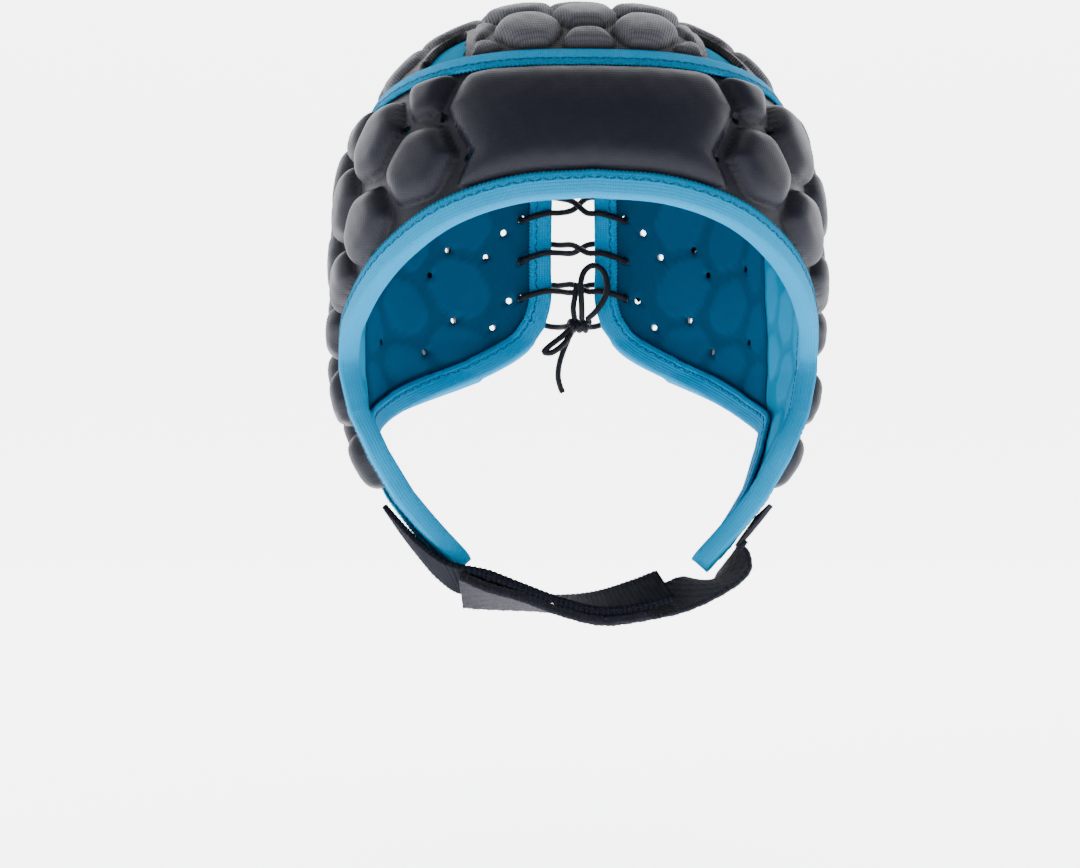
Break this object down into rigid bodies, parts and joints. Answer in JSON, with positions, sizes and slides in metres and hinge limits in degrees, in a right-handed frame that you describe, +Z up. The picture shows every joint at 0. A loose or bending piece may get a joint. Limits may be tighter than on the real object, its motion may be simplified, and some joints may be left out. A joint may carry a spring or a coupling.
{
  "type": "rugby scrum cap",
  "caption": "Soft padded head guard for rugby: foam cells under dark knit, blue lining and edge tape, a laced opening at the back and an overlapping chin strap.",
  "frame": {"origin": "top of the wearer's head inside the crown, where the cap hangs on the head", "axes": "+Z up through the crown, -Y out of the face opening, +X to the right as seen from the front"},
  "size_m": [0.186, 0.2102, 0.2271],
  "materials": {
    "cloth_over_foam": "matt stretch knit over foam pads",
    "crown_mesh": "ribbed air mesh over foam pads",
    "lining_cloth": "smooth brushed lining",
    "edge_tape": "ribbed woven tape, slight sheen",
    "lace_cord": "smooth braided elastic cord",
    "strap_webbing": "ribbed elastic webbing with loop pile",
    "strap_tab_cloth": "flat stitched webbing"
  },
  "bodies": {
    "root": {"front_band": "cloth_over_foam", "crown_panel": "crown_mesh", "back_panel_left": "cloth_over_foam", "back_panel_right": "cloth_over_foam", "band_lining": "lining_cloth", "crown_lining": "lining_cloth", "back_lining_left": "lining_cloth", "back_lining_right": "lining_cloth", "face_binding": "edge_tape", "top_binding": "edge_tape", "nape_binding_left": "edge_tape", "nape_binding_right": "edge_tape", "lace": "lace_cord", "lace_knot": "lace_cord", "lace_bow": "lace_cord", "lace_tail": "lace_cord", "chin_strap_left": "strap_webbing", "chin_strap_right": "strap_webbing", "strap_tab": "strap_tab_cloth"}
  },
  "joints": []
}
